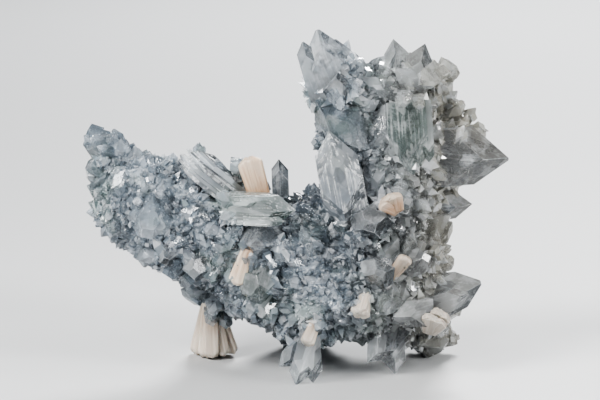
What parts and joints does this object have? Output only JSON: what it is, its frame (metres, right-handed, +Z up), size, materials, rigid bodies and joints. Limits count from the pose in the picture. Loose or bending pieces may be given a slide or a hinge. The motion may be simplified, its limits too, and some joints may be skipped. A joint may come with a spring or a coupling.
{
  "type": "mineral specimen",
  "caption": "Apophyllite cluster: clear pointed crystals and peach stilbite blades on a branching body of small grey-blue crystals, standing on its own tips.",
  "frame": {"origin": "on the surface the cluster stands on, under the middle of its outline", "axes": "+Z up, +X from the arm to the large side crystal, +Y from the front to the back"},
  "size_m": [0.1248, 0.0586, 0.1011],
  "materials": {
    "druse": "satin",
    "peach_stilbite": "satin",
    "clear_crystal": "polished"
  },
  "bodies": {
    "root": {"druse_matrix": "druse", "stilbite_tall_blade": "peach_stilbite", "stilbite_lower_blade": "peach_stilbite", "stilbite_bow_tie": "peach_stilbite", "stilbite_small_fan": "peach_stilbite", "stilbite_foot_blade": "peach_stilbite", "stilbite_right_blade": "peach_stilbite", "stilbite_orange_knot": "peach_stilbite", "stilbite_cream_knot": "peach_stilbite", "stilbite_rear_sheaf": "peach_stilbite", "tall_double_crystal": "clear_crystal", "right_point_crystal": "clear_crystal", "lower_right_crystal": "clear_crystal", "top_left_crystals": "clear_crystal", "top_right_crystals": "clear_crystal", "tower_window_crystal": "clear_crystal", "centre_lens_crystal": "clear_crystal", "horizontal_crystal": "clear_crystal", "plate_crystals": "clear_crystal", "left_button_crystal": "clear_crystal", "arm_button_crystal": "clear_crystal", "arm_striated_crystals": "clear_crystal", "ridge_point_crystal": "clear_crystal", "right_button_crystal": "clear_crystal", "hex_front_crystal": "clear_crystal", "flash_crystal": "clear_crystal", "lying_crystal": "clear_crystal", "right_side_crystal": "clear_crystal", "front_foot_crystals": "clear_crystal", "right_foot_crystals": "clear_crystal", "rear_fan_crystals": "clear_crystal", "rear_tower_crystal": "clear_crystal", "rear_arm_crystal": "clear_crystal"}
  },
  "joints": []
}
